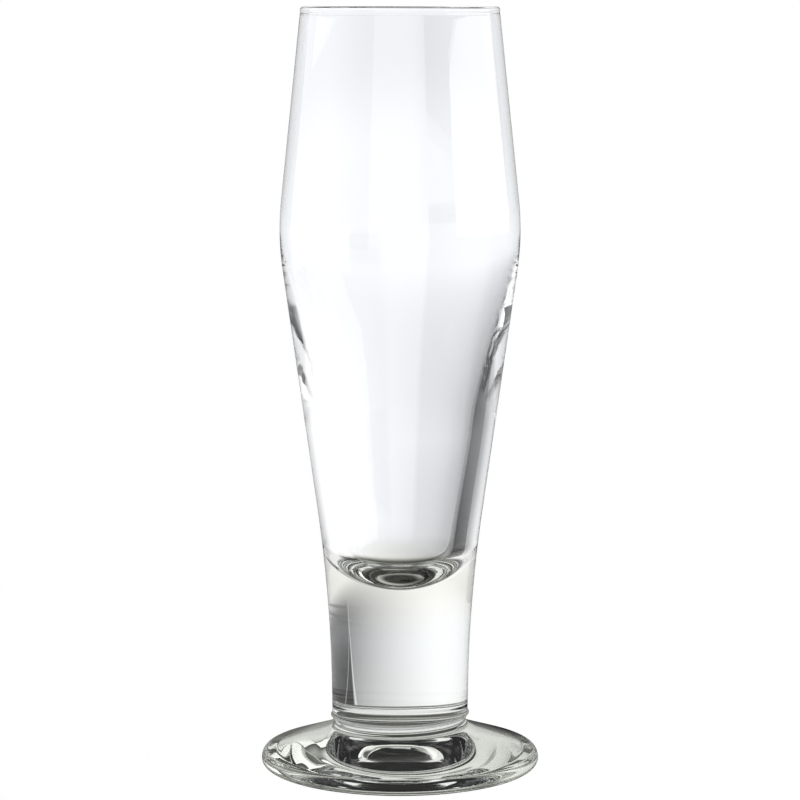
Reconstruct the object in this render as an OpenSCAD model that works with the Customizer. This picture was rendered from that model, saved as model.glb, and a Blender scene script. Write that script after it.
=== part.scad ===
// Pilsner glass: a tall, clear beer glass on a round foot.
// The hollow bowl, the solid stem, the joining wafer and the pressed foot are fused while hot,
// so they meet face to face. All of them are turned about +Z. The origin is on the table, under
// the middle of the foot, and all lengths are in millimetres.

/* [Foot] */
// Diameter of the foot
foot_d = 77.8; // [66:0.2:92]
// Height of the foot, from the table to the wafer
foot_h = 11.7; // [11.2:0.1:18]
// Height at which the foot is widest
edge_h = 2.2; // [1.4:0.1:3]
// Height of the rounding above the foot's widest line
edge_over_h = 2.7; // [1.5:0.1:4]
// Width of the rounding above the foot's widest line
edge_over_w = 1.7; // [0.8:0.1:3]
// Width of the rounding below the foot's widest line
edge_under_w = 2.9; // [1:0.1:4]
// Width of the flat ring that the glass stands on
rest_w = 3; // [1:0.1:5]
// Height of the hollow under the middle of the foot
hollow_h = 2.6; // [0.8:0.1:4]
// Diameter at which the foot's cone starts to turn up into the neck
shoulder_d = 45; // [43:0.2:52]
// Height at which the foot's cone starts to turn up into the neck
shoulder_h = 9.8; // [8:0.1:11]

/* [Wafer] */
// Diameter of the neck, where the wafer meets the foot
neck_d = 37.8; // [32:0.1:42]
// Thickness of the wafer
wafer_h = 3.6; // [1.5:0.1:5]
// How far the wafer's bead stands out from the neck
bead_w = 0.45; // [0.1:0.05:1.2]
// Depth of the groove that runs around the neck below the bead
groove_w = 0.6; // [0.1:0.05:1]
// Share of the wafer's height that the groove takes up, from below
groove_share = 0.7; // [0.3:0.05:0.8]

/* [Stem] */
// Diameter of the stem at its lower end
stem_d = 38.0; // [32:0.1:42]
// Length of the stem, from the wafer to the bowl's seat
stem_h = 28.7; // [18:0.1:40]
// Height of the knee above the stem's lower end, where stem and bowl slopes would meet
knee_h = 32.2; // [24:0.1:45]
// Diameter at the knee
knee_d = 38.9; // [34:0.1:46]
// Half the height over which the knee is rounded
knee_soft_h = 25.5; // [6:0.5:30]

/* [Bowl] */
// Height of the bowl, from its seat on the stem to the top of the rim
bowl_h = 168; // [145:0.5:200]
// Height of the waist above the bowl's seat, where the two cones would meet
waist_h = 105.5; // [85:0.5:125]
// Diameter at which the two cones would meet
waist_d = 67.7; // [56:0.1:80]
// Half the height over which the waist is rounded
waist_soft_h = 9.8; // [3:0.1:16]
// Diameter of the mouth, just under the rim bead
mouth_d = 54.7; // [46:0.1:66]

/* [Wall] */
// Thickness of the wall at the mouth
mouth_wall = 1.25; // [0.9:0.05:2]
// Thickness of the wall at the waist
waist_wall = 0.9; // [0.7:0.05:2]
// Thickness of the wall where the lower bowl has become thick
thick_wall = 6; // [2:0.1:7]
// Thickness of the wall at the bottom of the cavity
heel_wall = 7; // [3:0.1:9]
// Height above the bowl's seat at which the wall has become thin
thin_at_h = 107.5; // [80:0.5:125]
// Height above the bowl's seat at which the wall has become thick
thick_at_h = 52; // [35:0.5:70]
// Glass between the bowl's seat and the bottom of the cavity
floor_h = 7.6; // [3:0.1:15]
// Height of the cavity's rounded bottom
cavity_round_h = 12; // [6:0.5:18]

/* [Rim] */
// Height of the melted bead on the rim
rim_h = 1.9; // [1:0.1:3]
// How far the rim bead stands out from each face of the wall
rim_w = 0.1; // [0.05:0.01:0.4]

/* [Hidden] */

// Clear glass with a trace of grey green
glass_colour = [0.87, 0.91, 0.91];
thick_glass_colour = [0.80, 0.85, 0.85];

// Straight runs of each outline, and steps of each short curve
long_steps = 56;
short_steps = 14;
turn_steps = 144;

// Heights at which the pieces meet
wafer_z = foot_h;
stem_z = wafer_z + wafer_h;
bowl_z = stem_z + stem_h;
top_z = bowl_z + bowl_h;

// Corners of the outer outline, before they are rounded
knee_z = stem_z + knee_h;
waist_z = bowl_z + waist_h;
rim_z = top_z - rim_h / 2;
stem_slope = (knee_d - stem_d) / 2 / knee_h;
lower_slope = (waist_d - knee_d) / 2 / (waist_z - knee_z);
upper_slope = (mouth_d - waist_d) / 2 / (rim_z - waist_z);

// Levels of the cavity
cavity_z = bowl_z + floor_h;
cavity_round_z = cavity_z + cavity_round_h;
thin_z = bowl_z + thin_at_h;
thick_z = bowl_z + thick_at_h;

// Value between a and b at the share t
function between(a, b, t) = a + (b - a) * t;

// Rises from zero before -h to x after h, along a parabola between the two
function bend(x, h) = x <= -h ? 0 : x >= h ? x : (x + h) * (x + h) / (4 * h);

// Goes from 0 to 1 with a level start and end
function ease(t) = t <= 0 ? 0 : t >= 1 ? 1 : t * t * (3 - 2 * t);

// Outer radius of stem and bowl at height z: three straight slopes with two rounded corners
function outer_r(z) = stem_d / 2 + stem_slope * (z - stem_z)
    + (lower_slope - stem_slope) * bend(z - knee_z, knee_soft_h)
    + (upper_slope - lower_slope) * bend(z - waist_z, waist_soft_h);

// Thickness of the wall at height z: thin from mouth to waist, then thicker down to the heel
function thin_part(z) = between(waist_wall, mouth_wall, (z - waist_z) / (rim_z - waist_z));
function thick_part(z) = between(heel_wall, thick_wall, (z - cavity_z) / (thick_z - cavity_z));
function wall(z) = between(thin_part(z), thick_part(z), ease((thin_z - z) / (thin_z - thick_z)));

// Inner radius at height z, before the cavity's bottom rounds it off
function inner_r(z) = outer_r(z) - wall(z);

// Point on the quadratic curve from a to b that the corner c pulls on
function curve(a, c, b, t) = (1 - t) * (1 - t) * a + 2 * t * (1 - t) * c + t * t * b;

// The rim bead is an ellipse about the middle of the wall, from one face of it to the other
bead_half_w = mouth_wall / 2 + rim_w;
bead_start_a = -acos(mouth_wall / 2 / bead_half_w);
bead_r = mouth_d / 2 - mouth_wall / 2;
bead_foot_z = rim_z + rim_h / 2 * sin(bead_start_a);

// The bowl's outline: outer face upward, rim bead, inner face downward, rounded bottom
module bowl() {
    outer = [for (i = [0 : long_steps - 1])
        let (z = between(bowl_z, bead_foot_z, i / long_steps))
        [outer_r(z), z]];
    bead = [for (i = [0 : short_steps])
        let (a = between(bead_start_a, 180 - bead_start_a, i / short_steps))
        [bead_r + bead_half_w * cos(a), rim_z + rim_h / 2 * sin(a)]];
    inner = [for (i = [1 : long_steps])
        let (z = between(bead_foot_z, cavity_round_z, i / long_steps))
        [inner_r(z), z]];
    bottom = [for (i = [1 : short_steps])
        let (a = 90 * i / short_steps, z = cavity_round_z - cavity_round_h * sin(a))
        [i == short_steps ? 0 : inner_r(z) * cos(a), z]];
    color(glass_colour)
        rotate_extrude($fn = turn_steps)
            polygon(concat([[0, bowl_z]], outer, bead, inner, bottom));
}

// A solid column that widens a little towards the bowl
module stem() {
    side = [for (i = [0 : short_steps])
        let (z = between(stem_z, bowl_z, i / short_steps))
        [outer_r(z), z]];
    color(thick_glass_colour)
        rotate_extrude($fn = turn_steps)
            polygon(concat([[0, stem_z]], side, [[0, bowl_z]]));
}

// A disc whose edge has a groove below and swells into a bead above it
module wafer() {
    side = [for (i = [0 : 2 * short_steps])
        let (t = i / (2 * short_steps), in_groove = t < groove_share)
        let (wave = in_groove ? t / groove_share : (t - groove_share) / (1 - groove_share))
        let (reach = (in_groove ? -groove_w : bead_w) * (1 - cos(360 * wave)) / 2)
        [between(neck_d, stem_d, t) / 2 + reach, wafer_z + wafer_h * t]];
    color(glass_colour)
        rotate_extrude($fn = turn_steps)
            polygon(concat([[0, wafer_z]], side, [[0, stem_z]]));
}

// Radii and slopes of the foot
foot_r = foot_d / 2;
rest_outer_r = foot_r - edge_under_w;
rest_inner_r = rest_outer_r - rest_w;
crest_r = foot_r - edge_over_w;
crest_h = edge_h + edge_over_h;
cone_slope = (shoulder_h - crest_h) / (crest_r - shoulder_d / 2);
cone_start_a = atan(edge_over_h / edge_over_w / cone_slope);
hollow_r = (rest_inner_r * rest_inner_r + hollow_h * hollow_h) / (2 * hollow_h);

// The foot: arched hollow, rest ring, rounded edge, low cone and a fillet up into the neck
module foot() {
    hollow = [for (i = [0 : short_steps])
        let (r = rest_inner_r * i / short_steps)
        [r, i == short_steps ? 0 : hollow_h - hollow_r + sqrt(hollow_r * hollow_r - r * r)]];
    under = [for (i = [0 : short_steps])
        let (a = 90 * i / short_steps)
        [rest_outer_r + edge_under_w * sin(a), edge_h * (1 - cos(a))]];
    over = [for (i = [1 : short_steps])
        let (a = cone_start_a * i / short_steps)
        [crest_r + edge_over_w * cos(a), edge_h + edge_over_h * sin(a)]];
    shoulder = [shoulder_d / 2, shoulder_h];
    corner = [neck_d / 2, shoulder_h + cone_slope * (shoulder_d - neck_d) / 2];
    fillet = [for (i = [0 : short_steps]) curve(shoulder, corner, [neck_d / 2, foot_h], i / short_steps)];
    color(thick_glass_colour)
        rotate_extrude($fn = turn_steps)
            polygon(concat(hollow, under, over, fillet, [[0, foot_h]]));
}

bowl();
stem();
wafer();
foot();
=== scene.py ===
import math

import bpy
import numpy as np
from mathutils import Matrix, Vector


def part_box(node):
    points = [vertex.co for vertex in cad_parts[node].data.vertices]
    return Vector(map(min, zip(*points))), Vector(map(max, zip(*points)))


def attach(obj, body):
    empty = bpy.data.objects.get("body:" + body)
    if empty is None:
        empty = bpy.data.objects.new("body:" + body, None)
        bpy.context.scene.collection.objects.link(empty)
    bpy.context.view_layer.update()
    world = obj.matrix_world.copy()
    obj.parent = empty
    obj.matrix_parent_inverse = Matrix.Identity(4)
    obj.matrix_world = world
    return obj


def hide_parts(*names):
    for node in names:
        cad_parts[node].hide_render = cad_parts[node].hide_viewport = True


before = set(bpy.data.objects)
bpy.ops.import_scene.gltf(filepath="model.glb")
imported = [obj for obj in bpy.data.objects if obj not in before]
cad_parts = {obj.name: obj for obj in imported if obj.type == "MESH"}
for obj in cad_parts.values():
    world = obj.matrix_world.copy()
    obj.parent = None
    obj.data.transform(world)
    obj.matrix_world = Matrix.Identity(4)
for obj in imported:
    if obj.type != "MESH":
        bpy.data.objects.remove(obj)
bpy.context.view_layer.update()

# The foot
# A low cone of clear glass, pressed in a mould and fire polished, so its edge is soft. It stands on
# a flat ring around an arched hollow, and its collar rises in a fillet to the joining wafer.
foot_low, foot_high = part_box("foot")
foot_base = foot_low[2]
foot_radius = foot_high[0]
foot_top = foot_high[2]
edge_height = 0.0022
edge_over_height = 0.0027
edge_over_width = 0.0017
edge_under_width = 0.0029
rest_width = 0.0030
hollow_height = 0.0026
hollow_softness = 0.00006
shoulder_radius = 0.0225
shoulder_height = 0.0098
neck_radius = 0.0189
hollow_rings = 90
edge_rings = 24
cone_rings = 24
fillet_rings = 30

# All pieces have this many columns around the axis, and the fused faces have a ring this close inside
around = 256
joint_ring = 0.00001

# The refraction of soda glass, and its tint by height above the table, up to the end of the ramp
glass_ior = 1.52
tint_reach = 0.1
glass_tints = [
    (0.0, (0.85, 0.88, 0.81)),
    (0.010, (0.83, 0.86, 0.80)),
    (0.016, (0.79, 0.80, 0.79)),
    (0.036, (0.78, 0.80, 0.81)),
    (0.052, (0.79, 0.79, 0.75)),
    (0.068, (0.94, 0.95, 0.965)),
]

# The neck's rings are askew by this slope at the neck's middle, and level at the other two heights
neck_slant = 0.022
neck_middle = 0.0130
foot_rest = 0.0085
stem_rest = 0.0220

# Waves around the axis that the hot glass kept: how many, turn with height, start and depth
slow_waves = [
    (2, 9, 0.4, 0.000025),
    (3, -14, 2.1, 0.000015),
    (5, 23, 4.0, 0.000008),
]


def bend(x, half_width):
    """Rises from zero to x along a parabola that lasts from -half_width to half_width."""
    curved = (x + half_width) ** 2 / (4 * half_width)
    return np.where(x <= -half_width, 0.0, np.where(x >= half_width, x, curved))


def ellipse_run(centre_r, centre_z, half_width, half_height, start, end, steps):
    """Points (r, z) on an ellipse, at even angles from start to end in degrees."""
    angle = np.radians(np.linspace(start, end, steps))
    return np.column_stack([centre_r + half_width * np.cos(angle), centre_z + half_height * np.sin(angle)])


def pulled_run(start, corner, end, steps):
    """Points on the parabola from start to end whose end tangents meet at corner."""
    t = np.linspace(0, 1, steps)[:, None]
    return (1 - t) ** 2 * np.array(start) + 2 * t * (1 - t) * np.array(corner) + t ** 2 * np.array(end)


def ease(t):
    """Goes from 0 to 1 with a level start and end."""
    t = np.clip(t, 0, 1)
    return t * t * (3 - 2 * t)


def uneven(angle, height):
    """How far hot glass drew away from a true round, in metres: the sum of the slow waves, each a
    cosine of its number times the angle, turned a little with height."""
    return sum(depth * np.cos(waves * angle + turn * height + start)
               for waves, turn, start, depth in slow_waves)


def neck_tilt(x, z):
    """How far the joint was set askew: the neck's rings rise towards +x. The rise is greatest at the
    wafer and dies away up the stem and down the foot's collar."""
    up_the_stem = ease((stem_rest - z) / (stem_rest - neck_middle))
    down_the_foot = ease((z - foot_rest) / (neck_middle - foot_rest))
    return x * neck_slant * up_the_stem * down_the_foot


def turned_glass(name, outline, seat_below, seat_above):
    """A body of revolution. Row i and column k of its grid hold the point
    (r cos a, r sin a, z), where (r, z) is point i of the outline, a is the share k of a full turn,
    r has uneven(a, z) added and z has neck_tilt(x, z) added. Both ends of the outline close in a
    point on the axis. The faces that meet the neighbouring glass, if there are any, take the second
    material, and a ring just inside each of them keeps the shading of the side true."""
    rings = outline[1:-1]
    if seat_below:
        rings = np.vstack([rings[:1], rings[:1] + [[0, joint_ring]], rings[1:]])
    if seat_above:
        rings = np.vstack([rings[:-1], rings[-1:] - [[0, joint_ring]], rings[-1:]])
    angle = np.linspace(0, 2 * np.pi, around, endpoint=False)
    from_axis, height = rings[:, 0, None], rings[:, 1, None]
    r = from_axis + uneven(angle[None, :], height) * np.minimum(1, from_axis / neck_radius)
    x, y = r * np.cos(angle), r * np.sin(angle)
    grid = np.stack([x, y, height + neck_tilt(x, height)], axis=-1)
    points = np.vstack([grid.reshape(-1, 3), [[0, 0, outline[0, 1]], [0, 0, outline[-1, 1]]]])
    here = np.arange(around)
    after = (here + 1) % around
    start = np.arange(len(rings) - 1)[:, None] * around
    quads = np.stack([start + here, start + after, start + around + after, start + around + here], axis=-1)
    last = (len(rings) - 1) * around
    first_pole, last_pole = len(points) - 2, len(points) - 1
    below = np.stack([np.full(around, first_pole), after, here], axis=-1)
    above = np.stack([np.full(around, last_pole), last + here, last + after], axis=-1)
    mesh = bpy.data.meshes.new(name)
    mesh.from_pydata(points, [], below.tolist() + quads.reshape(-1, 4).tolist() + above.tolist())
    seat = np.zeros(len(mesh.polygons), dtype=bool)
    seat[:around] = seat_below
    seat[len(seat) - around:] = seat_above
    mesh.polygons.foreach_set("material_index", seat.astype(np.int32))
    mesh.polygons.foreach_set("use_smooth", ~seat)
    mesh.update()
    piece = bpy.data.objects.new(name, mesh)
    bpy.context.scene.collection.objects.link(piece)
    return piece


def add_node(tree, kind, **settings):
    """A new node of that kind with the given settings."""
    node = tree.nodes.new(kind)
    for key, value in settings.items():
        setattr(node, key, value)
    return node


def stretched_noise(tree, scale, stretch, detail):
    """Noise on the piece's own place, stretched along each axis by the given scale factors."""
    place = add_node(tree, "ShaderNodeTexCoord")
    mapping = add_node(tree, "ShaderNodeMapping")
    mapping.inputs["Scale"].default_value = stretch
    noise = add_node(tree, "ShaderNodeTexNoise")
    noise.inputs["Scale"].default_value = scale
    noise.inputs["Detail"].default_value = detail
    tree.links.new(place.outputs["Object"], mapping.inputs["Vector"])
    tree.links.new(mapping.outputs["Vector"], noise.inputs["Vector"])
    return noise.outputs["Fac"]


def clear_glass(name, streak_stretch, streak_depth, ripple_scale, ripple_depth):
    """Clear soda glass. Its tint deepens down the bowl, where the walls grow thick, and is that of
    solid glass in stem and foot. Two bumps lie on its polished skin: fine streaks along the way the
    hot glass was drawn, and a broad soft ripple left by the mould or the flame."""
    material = bpy.data.materials.new(name)
    material.use_nodes = True
    tree = material.node_tree
    shader = tree.nodes["Principled BSDF"]
    shader.inputs["Transmission Weight"].default_value = 1.0
    shader.inputs["IOR"].default_value = glass_ior
    shader.inputs["Roughness"].default_value = 0.0
    place = add_node(tree, "ShaderNodeTexCoord")
    height = add_node(tree, "ShaderNodeSeparateXYZ")
    tints = add_node(tree, "ShaderNodeValToRGB")
    tints.color_ramp.interpolation = "EASE"
    tints.color_ramp.elements.remove(tints.color_ramp.elements[1])
    for number, (tint_height, tint) in enumerate(glass_tints):
        stop = tints.color_ramp.elements[0] if number == 0 else tints.color_ramp.elements.new(1)
        stop.position = tint_height / tint_reach
        stop.color = (*tint, 1)
    share = add_node(tree, "ShaderNodeMath", operation="DIVIDE")
    share.inputs[1].default_value = tint_reach
    tree.links.new(place.outputs["Object"], height.inputs[0])
    tree.links.new(height.outputs["Z"], share.inputs[0])
    tree.links.new(share.outputs["Value"], tints.inputs["Fac"])
    tree.links.new(tints.outputs["Color"], shader.inputs["Base Color"])
    ripple = add_node(tree, "ShaderNodeBump")
    ripple.inputs["Strength"].default_value = 1.0
    ripple.inputs["Distance"].default_value = ripple_depth
    tree.links.new(stretched_noise(tree, ripple_scale, (1, 1, 1), 1.0), ripple.inputs["Height"])
    streaks = add_node(tree, "ShaderNodeBump")
    streaks.inputs["Strength"].default_value = 1.0
    streaks.inputs["Distance"].default_value = streak_depth
    tree.links.new(stretched_noise(tree, 1.0, streak_stretch, 2.0), streaks.inputs["Height"])
    tree.links.new(ripple.outputs["Normal"], streaks.inputs["Normal"])
    tree.links.new(streaks.outputs["Normal"], shader.inputs["Normal"])
    return material


# Where two pieces are fused there is no surface to see, so these faces let light straight through
fused_joint = bpy.data.materials.new("fused joint")
fused_joint.use_nodes = True
fused_joint.node_tree.nodes["Principled BSDF"].inputs["Alpha"].default_value = 0.0

rest_outer = foot_radius - edge_under_width
rest_inner = rest_outer - rest_width
hollow_curve = (rest_inner ** 2 + hollow_height ** 2) / (2 * hollow_height)
under_r = np.linspace(0, rest_outer, hollow_rings)
under_z = hollow_height - hollow_curve + np.sqrt(hollow_curve ** 2 - under_r ** 2)
hollow_run = np.column_stack([under_r, foot_base + bend(under_z, hollow_softness)])
crest_radius = foot_radius - edge_over_width
crest_height = edge_height + edge_over_height
cone_slope = (shoulder_height - crest_height) / (crest_radius - shoulder_radius)
cone_start = math.degrees(math.atan(edge_over_height / edge_over_width / cone_slope))
lower_edge = ellipse_run(rest_outer, edge_height, edge_under_width, edge_height, -90, 0, edge_rings)[1:]
upper_edge = ellipse_run(
    crest_radius, edge_height, edge_over_width, edge_over_height, 0, cone_start, edge_rings)[1:]
cone_t = np.linspace(0, 1, cone_rings + 2)[1:-1, None]
cone_run = upper_edge[-1] * (1 - cone_t) + np.array([shoulder_radius, shoulder_height]) * cone_t
fillet_corner = (neck_radius, shoulder_height + cone_slope * (shoulder_radius - neck_radius))
fillet_end = (neck_radius, foot_top)
fillet_run = pulled_run((shoulder_radius, shoulder_height), fillet_corner, fillet_end, fillet_rings)
foot_outline = np.vstack([hollow_run, lower_edge, upper_edge, cone_run, fillet_run, [[0, foot_top]]])
foot = turned_glass("glass_foot", foot_outline, seat_below=False, seat_above=True)
foot.data.materials.append(clear_glass(
    "pressed foot glass", streak_stretch=(60, 60, 60), streak_depth=0.000004,
    ripple_scale=70, ripple_depth=0.000008))
foot.data.materials.append(fused_joint)
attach(foot, "root")
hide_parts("foot")

# The joining wafer
# A thin disc of hot glass that was pressed between stem and foot. It squeezed out into a small
# bead, with a narrow groove below it where the foot's collar was sheared.
wafer_low, wafer_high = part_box("wafer")
wafer_base = wafer_low[2]
wafer_top = wafer_high[2]
stem_radius = 0.0190
bead_width = 0.00045
groove_width = 0.0006
groove_share = 0.7
wafer_rings = 65

wafer_t = np.linspace(0, 1, wafer_rings)
in_groove = wafer_t < groove_share
wave_share = np.where(in_groove, wafer_t / groove_share, (wafer_t - groove_share) / (1 - groove_share))
swelling = np.where(in_groove, -groove_width, bead_width) * (1 - np.cos(2 * np.pi * wave_share)) / 2
wafer_side = np.column_stack([
    neck_radius + (stem_radius - neck_radius) * wafer_t + swelling,
    wafer_base + (wafer_top - wafer_base) * wafer_t,
])
wafer_outline = np.vstack([[[0, wafer_base]], wafer_side, [[0, wafer_top]]])
wafer = turned_glass("glass_wafer", wafer_outline, seat_below=True, seat_above=True)
wafer.data.materials.append(clear_glass(
    "wafer glass", streak_stretch=(60, 60, 60), streak_depth=0.000003,
    ripple_scale=120, ripple_depth=0.00001))
wafer.data.materials.append(fused_joint)
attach(wafer, "root")
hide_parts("wafer")

# The stem
# A solid column drawn down from the bowl's gather. Its skin has faint lines along the pull, and it
# starts to widen long before the cavity begins.
stem_low, stem_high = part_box("stem")
stem_base = stem_low[2]
stem_top = stem_high[2]
bowl_low, bowl_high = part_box("bowl")
bowl_top = bowl_high[2]
stem_rings = 64
knee_height = stem_base + 0.0322
knee_radius = 0.01945
knee_softness = 0.0255
waist_height = stem_top + 0.1055
waist_radius = 0.03385
waist_softness = 0.0098
mouth_radius = 0.02735
rim_height = 0.0019
rim_middle = bowl_top - rim_height / 2
stem_slope = (knee_radius - stem_radius) / (knee_height - stem_base)
lower_slope = (waist_radius - knee_radius) / (waist_height - knee_height)
upper_slope = (mouth_radius - waist_radius) / (rim_middle - waist_height)


def outer_radius(z):
    """Outside of stem and bowl: three straight slopes with two rounded corners between them."""
    knee = (lower_slope - stem_slope) * bend(z - knee_height, knee_softness)
    waist = (upper_slope - lower_slope) * bend(z - waist_height, waist_softness)
    return stem_radius + stem_slope * (z - stem_base) + knee + waist


stem_z = np.linspace(stem_base, stem_top, stem_rings)
stem_side = np.column_stack([outer_radius(stem_z), stem_z])
stem_outline = np.vstack([[[0, stem_base]], stem_side, [[0, stem_top]]])
stem = turned_glass("glass_stem", stem_outline, seat_below=True, seat_above=True)
stem.data.materials.append(clear_glass(
    "drawn stem glass", streak_stretch=(420, 420, 9), streak_depth=0.000004,
    ripple_scale=60, ripple_depth=0.00001))
stem.data.materials.append(fused_joint)
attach(stem, "root")
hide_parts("stem")

# The bowl
# Blown in a mould, so the outside is smooth and the inside is free glass: thin from mouth to waist,
# then thicker and slightly wavy down to the rounded bottom. The rim was cut and melted to a bead.
mouth_wall = 0.00125
waist_wall = 0.0009
thick_wall = 0.0060
heel_wall = 0.0070
cavity_bottom = stem_top + 0.0076
cavity_round = 0.0120
thin_height = stem_top + 0.1075
thick_height = stem_top + 0.052
rim_width = 0.0001
outer_rings = 184
bead_rings = 24
inner_rings = 139
round_rings = 35


def wall(z):
    """Thickness of the wall at height z."""
    thin = waist_wall + (mouth_wall - waist_wall) * (z - waist_height) / (rim_middle - waist_height)
    thick = heel_wall + (thick_wall - heel_wall) * (z - cavity_bottom) / (thick_height - cavity_bottom)
    return thin + (thick - thin) * ease((thin_height - z) / (thin_height - thick_height))


bead_half = mouth_wall / 2 + rim_width
bead_start = -math.degrees(math.acos(mouth_wall / 2 / bead_half))
bead_radius = mouth_radius - mouth_wall / 2
bead_run = ellipse_run(
    bead_radius, rim_middle, bead_half, rim_height / 2, bead_start, 180 - bead_start, bead_rings)
bead_foot = bead_run[0, 1]
outer_z = np.linspace(stem_top, bead_foot, outer_rings + 1)[:-1]
outer_run = np.column_stack([outer_radius(outer_z), outer_z])
round_top = cavity_bottom + cavity_round
inner_z = np.linspace(bead_foot, round_top, inner_rings + 1)[1:]
inner_run = np.column_stack([outer_radius(inner_z) - wall(inner_z), inner_z])
round_angle = np.radians(np.linspace(0, 90, round_rings + 1)[1:])
round_z = round_top - cavity_round * np.sin(round_angle)
round_run = np.column_stack([(outer_radius(round_z) - wall(round_z)) * np.cos(round_angle), round_z])
round_run[-1, 0] = 0
bowl_outline = np.vstack([[[0, stem_top]], outer_run, bead_run, inner_run, round_run])
bowl = turned_glass("glass_bowl", bowl_outline, seat_below=True, seat_above=False)
bowl.data.materials.append(clear_glass(
    "blown bowl glass", streak_stretch=(260, 260, 7), streak_depth=0.000004,
    ripple_scale=45, ripple_depth=0.00001))
bowl.data.materials.append(fused_joint)
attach(bowl, "root")
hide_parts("bowl")

# The studio
# A white table in a white room, a white card on the left and one soft window on the right. The camera
# sees plain white. Rays that come through the glass, or off it, meet a staged table and room: on the
# table, painted light and shade make the white fall off to the right, a dark board stands partly for
# the glass's own painted shadow, and painted shade lies under the foot. The room has a dark ceiling
# and a dark stretch of wall.
dim_room = 0.12
card_distance = 0.7
card_height = 0.55
card_columns = 25
card_start = -150
card_full = -90
card_end = -55
window_distance = 0.70
window_middle = 0.22
window_width = 1.0
window_height = 0.24
window_radiance = 1.5
table_size = 3.0
table_gap = 0.0001
table_light_share = 0.25
lamp_level = 0.05
# Painted light and shade on the table seen through the glass: brighter left, dimmer right
left_level = 1.33
right_level = 0.34
far_right_rise = 0.76
left_front_drop = -0.23
far_level = 1.18
# The dark board: partly the glass's own shadow painted on the table, partly a darker stretch beyond
shadow_board_bearing = 36.2
shadow_board_border = -0.018
shadow_board_near_level = 0.08
shadow_board_far_level = 0.24
edge_place = -0.0215
edge_half_width = 0.0012
edge_light = 0.45
strip_bearing = 33.0
strip_half_width = 0.0009
strip_light = 0.35
# Painted shade on the table under the stem, inside the foot and under the ring it rests on
stem_shade = 0.08
inner_foot_shade = 0.55
ring_shade = 0.12
wall_base_level = 0.03
low_wall_level = 1.15


def stage_mesh(name, points, faces, material):
    """A staging object from points and faces, with one material."""
    mesh = bpy.data.meshes.new(name)
    mesh.from_pydata(points, [], faces)
    mesh.materials.append(material)
    thing = bpy.data.objects.new(name, mesh)
    bpy.context.scene.collection.objects.link(thing)
    return thing


def bare_tree(holder):
    """The emptied node tree of a material or a world."""
    holder.use_nodes = True
    holder.node_tree.nodes.clear()
    return holder.node_tree


def math_node(tree, operation, first, second=0.0, third=0.0):
    """The result of one sum on sockets or plain numbers."""
    node = add_node(tree, "ShaderNodeMath", operation=operation)
    for place, value in enumerate((first, second, third)):
        if isinstance(value, (int, float)):
            node.inputs[place].default_value = value
        else:
            tree.links.new(value, node.inputs[place])
    return node.outputs["Value"]


def product(tree, *shares):
    """All shares multiplied together."""
    result = shares[0]
    for share in shares[1:]:
        result = math_node(tree, "MULTIPLY", result, share)
    return result


def ranged(tree, value, start, end, low, high):
    """Goes smoothly from low to high while the value goes from start to end."""
    node = add_node(tree, "ShaderNodeMapRange", interpolation_type="SMOOTHSTEP")
    for key, number in (("From Min", start), ("From Max", end), ("To Min", low), ("To Max", high)):
        node.inputs[key].default_value = number
    tree.links.new(value, node.inputs["Value"])
    return node.outputs["Result"]


def place_and_bearing(tree, coordinates):
    """X, Y, Z and the bearing in degrees, from straight behind the glass and growing to the right."""
    place = add_node(tree, "ShaderNodeTexCoord")
    split = add_node(tree, "ShaderNodeSeparateXYZ")
    tree.links.new(place.outputs[coordinates], split.inputs[0])
    x, y, z = split.outputs["X"], split.outputs["Y"], split.outputs["Z"]
    bearing = math_node(tree, "DEGREES", math_node(tree, "ARCTAN2", x, y))
    return x, y, z, bearing


def right_of_line(tree, x, y, line_bearing):
    """How far a place lies to the right of the line that leaves the axis at that bearing: x times the
    bearing's cosine less y times its sine."""
    angle = math.radians(line_bearing)
    return math_node(tree, "MULTIPLY_ADD", y, -math.sin(angle), product(tree, x, math.cos(angle)))


def seen_through_glass(tree):
    """Full for rays that have come through the glass, dim for rays that it only reflects. The second
    result is full for rays straight from the camera."""
    rays = add_node(tree, "ShaderNodeLightPath")
    passed = rays.outputs["Is Transmission Ray"]
    only_reflected = math_node(tree, "SUBTRACT", rays.outputs["Is Glossy Ray"], passed)
    only_reflected = math_node(tree, "MAXIMUM", only_reflected, 0.0)
    share = math_node(tree, "MULTIPLY_ADD", only_reflected, dim_room, passed)
    return share, rays.outputs["Is Camera Ray"]


# The card is brightest on the left and fades out towards the camera
card_white = bpy.data.materials.new("card white")
tree = bare_tree(card_white)
bearing = place_and_bearing(tree, "Object")[-1]
emission = add_node(tree, "ShaderNodeEmission")
card_level = ranged(tree, bearing, card_start, card_full, 0.0, 1.0)
tree.links.new(card_level, emission.inputs["Strength"])
output = add_node(tree, "ShaderNodeOutputMaterial")
tree.links.new(emission.outputs["Emission"], output.inputs["Surface"])
card_bearing = np.radians(np.linspace(card_start, card_end, card_columns))
card_line = card_distance * np.column_stack([np.sin(card_bearing), np.cos(card_bearing)])
card_foot = np.column_stack([card_line, np.zeros(card_columns)])
card_head = np.column_stack([card_line, np.full(card_columns, card_height)])
card_points = np.vstack([card_foot, card_head])
low_left = np.arange(card_columns - 1)
high_left = low_left + card_columns
card_faces = np.stack([low_left, low_left + 1, high_left + 1, high_left], axis=-1)
card = stage_mesh("white_card", card_points.tolist(), card_faces.tolist(), card_white)
card.visible_camera = False
card.visible_diffuse = False
card.visible_shadow = False

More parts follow.
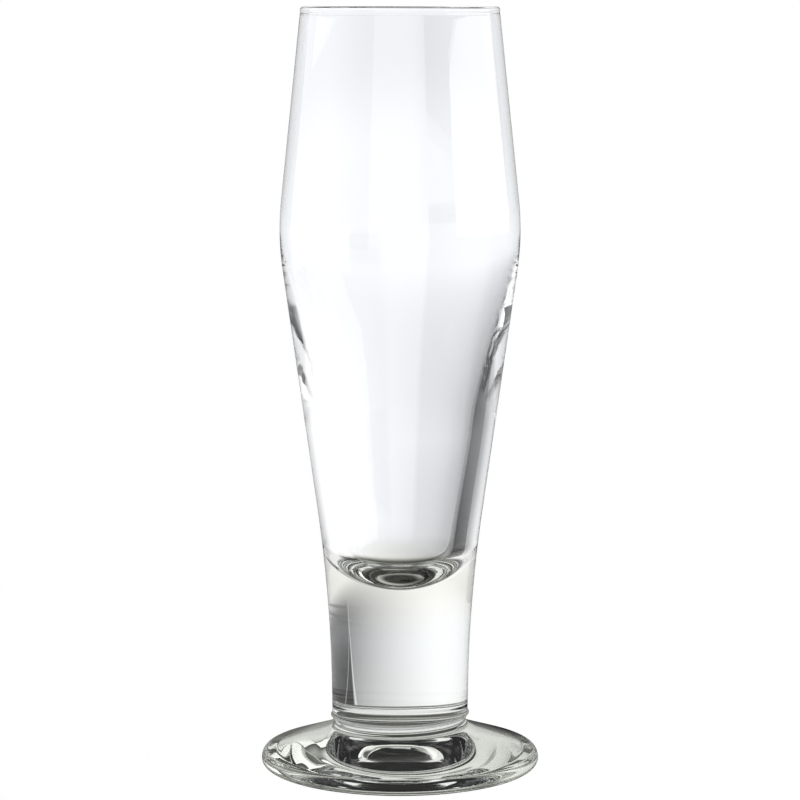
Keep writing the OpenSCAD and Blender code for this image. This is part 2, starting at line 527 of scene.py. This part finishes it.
# The window is the only lamp. It gives the bright upright field on the right of the bowl
window_data = bpy.data.lights.new("soft_window", "AREA")
window_data.shape = "RECTANGLE"
window_data.size = window_width
window_data.size_y = window_height
window_data.energy = window_radiance * math.pi * window_width * window_height
window = bpy.data.objects.new("soft_window", window_data)
window.location = (window_distance, 0.0, window_middle)
window.rotation_euler = (math.radians(90), 0, math.radians(90))
window.visible_camera = False
bpy.context.scene.collection.objects.link(window)

# Painted light and shade: behind the glass the table's white is brightest on the left and falls off
# towards the right, rises again far to the right and is darker at the front left. Far away it is even
table_white = bpy.data.materials.new("table white")
tree = bare_tree(table_white)
through, by_camera = seen_through_glass(tree)
x, y, z, bearing = place_and_bearing(tree, "Object")
from_axis = math_node(tree, "SQRT", math_node(tree, "ADD", product(tree, x, x), product(tree, y, y)))
falling_off = ranged(tree, bearing, -24, 41, left_level, right_level)
rising_again = ranged(tree, bearing, 62, 88, 0.0, far_right_rise)
left_front = ranged(tree, bearing, -120, -60, left_front_drop, 0.0)
level = math_node(tree, "ADD", falling_off, math_node(tree, "ADD", rising_again, left_front))
to_even = math_node(tree, "SUBTRACT", far_level, level)
far_away = ranged(tree, from_axis, 0.35, 0.90, 0.0, 1.0)
level = math_node(tree, "MULTIPLY_ADD", to_even, far_away, level)

# The dark board stands partly for the glass's own shadow, painted on the table, and reaches further
# right than that shadow. It lies on the right of a line that runs away behind the glass. It ends short
# of the foot and fades out to the sides and far away. Its edge is white, and a thin white strip lies
# on it
beside_edge = right_of_line(tree, x, y, shadow_board_bearing)
beside_strip = right_of_line(tree, x, y, strip_bearing)
shadow_board_left = ranged(tree, bearing, -8, 8, 0.0, 1.0)
shadow_board_right = ranged(tree, bearing, 66, 88, 1.0, 0.0)
shadow_board_near = ranged(tree, from_axis, 0.042, 0.065, 0.0, 1.0)
shadow_board_far = ranged(tree, from_axis, 0.32, 0.60, 1.0, 0.0)
shadow_board_reach = product(tree, shadow_board_left, shadow_board_right, shadow_board_near, shadow_board_far)
line_reach = product(tree, shadow_board_reach, ranged(tree, from_axis, 0.055, 0.08, 0.0, 1.0))
past_edge = ranged(tree, beside_edge, shadow_board_border - 0.002, shadow_board_border, 0.0, 1.0)
on_shadow_board = product(tree, shadow_board_reach, past_edge)
on_edge = product(tree, line_reach, math_node(tree, "COMPARE", beside_edge, edge_place, edge_half_width))
on_strip = product(tree, line_reach, math_node(tree, "COMPARE", beside_strip, 0.0, strip_half_width))
shadow_board_level = ranged(tree, from_axis, 0.12, 0.34, shadow_board_near_level, shadow_board_far_level)
to_shadow_board = math_node(tree, "SUBTRACT", shadow_board_level, level)
level = math_node(tree, "MULTIPLY_ADD", on_shadow_board, to_shadow_board, level)
level = math_node(tree, "MULTIPLY_ADD", on_edge, edge_light, level)
level = math_node(tree, "MULTIPLY_ADD", on_strip, strip_light, level)

# Painted shade: the table is darkened under the stem and under the ring that the foot rests on, and
# there it is painted slightly yellow green, standing for the light that comes through the glass
under_stem = ranged(tree, from_axis, 0.014, 0.025, stem_shade, 1.0)
under_ring = ranged(tree, from_axis, 0.026, 0.033, inner_foot_shade, ring_shade)
beside_foot = ranged(tree, from_axis, 0.032, 0.085, 0.0, 1.0)
outside_painted_shade = product(tree, under_stem, math_node(tree, "MAXIMUM", under_ring, beside_foot))
seen = product(tree, level, outside_painted_shade, through)
# Painted light: under the foot the table's white turns slightly yellow green
painted_light_tint = add_node(tree, "ShaderNodeMix", data_type="RGBA")
tree.links.new(math_node(tree, "MAXIMUM", outside_painted_shade, by_camera), painted_light_tint.inputs["Factor"])
painted_light_tint.inputs["A"].default_value = (1.0, 0.99, 0.90, 1)
painted_light_tint.inputs["B"].default_value = (1.0, 1.0, 1.0, 1)

# For the camera a share of the white near the glass is real light, so the contact shadow shows
near_glass = product(tree, ranged(tree, from_axis, 0.05, 0.30, table_light_share, 0.0), by_camera)
own_white = math_node(tree, "SUBTRACT", by_camera, product(tree, near_glass, lamp_level))
emission = add_node(tree, "ShaderNodeEmission")
tree.links.new(math_node(tree, "ADD", seen, own_white), emission.inputs["Strength"])
tree.links.new(painted_light_tint.outputs["Result"], emission.inputs["Color"])
diffuse = add_node(tree, "ShaderNodeBsdfDiffuse")
tree.links.new(near_glass, diffuse.inputs["Color"])
both = add_node(tree, "ShaderNodeAddShader")
tree.links.new(emission.outputs["Emission"], both.inputs[0])
tree.links.new(diffuse.outputs["BSDF"], both.inputs[1])
output = add_node(tree, "ShaderNodeOutputMaterial")
tree.links.new(both.outputs["Shader"], output.inputs["Surface"])
table_corners = []
for side, depth in ((-1, -1), (1, -1), (1, 1), (-1, 1)):
    table_corners.append((side * table_size, depth * table_size, -table_gap))
table = stage_mesh("white_table", table_corners, [(0, 1, 2, 3)], table_white)

# The room has white walls, the dark stretch on the right, and a ceiling that comes lower behind
world = bpy.data.worlds.new("studio room")
bpy.context.scene.world = world
tree = bare_tree(world)
through, by_camera = seen_through_glass(tree)
x, y, z, bearing = place_and_bearing(tree, "Generated")
off_the_back = math_node(tree, "ABSOLUTE", bearing)
lowered_behind = ranged(tree, off_the_back, 60, 90, 0.14, 0.0)
below_ceiling = ranged(tree, math_node(tree, "ADD", z, lowered_behind), 0.46, 0.62, 1.0, 0.0)
before_dark = ranged(tree, bearing, 42, 58, 1.0, 0.0)
after_dark = ranged(tree, bearing, 152, 168, 0.0, 1.0)
near_horizon = ranged(tree, z, 0.02, 0.05, 1.0, 0.0)
off_dark = math_node(tree, "MAXIMUM", near_horizon, math_node(tree, "MAXIMUM", before_dark, after_dark))
low_white = ranged(tree, z, -0.045, -0.010, low_wall_level, 1.0)
white_wall = product(tree, off_dark, below_ceiling, low_white)
wall_level = math_node(tree, "ADD", white_wall, wall_base_level)
background = add_node(tree, "ShaderNodeBackground")
background.inputs["Color"].default_value = (1, 1, 1, 1)
strength = math_node(tree, "MULTIPLY_ADD", wall_level, through, by_camera)
tree.links.new(strength, background.inputs["Strength"])
output = add_node(tree, "ShaderNodeOutputWorld")
tree.links.new(background.outputs["Background"], output.inputs["Surface"])

# The camera
# A long lens, close to the height of the rim and tipped down a little towards the table. Light may
# turn many times in the glass, because its thick parts send it back and forth.
camera_distance = 0.86488
camera_height = 0.21563
camera_tip = 7.39
camera_lens = 141.09
camera_sensor = 36
camera_reach = 50
glass_turns = 64
clear_passes = 16
camera_data = bpy.data.cameras.new("camera")
camera_data.sensor_width = camera_sensor
camera_data.lens = camera_lens
camera_data.clip_end = camera_reach
camera = bpy.data.objects.new("camera", camera_data)
camera.location = (0, -camera_distance, camera_height)
camera.rotation_euler = (math.radians(90 - camera_tip), 0, 0)
bpy.context.scene.collection.objects.link(camera)
bpy.context.scene.camera = camera

scene = bpy.context.scene
scene.view_settings.view_transform = "Standard"
scene.cycles.max_bounces = glass_turns
scene.cycles.transmission_bounces = glass_turns
scene.cycles.glossy_bounces = glass_turns
scene.cycles.transparent_max_bounces = clear_passes
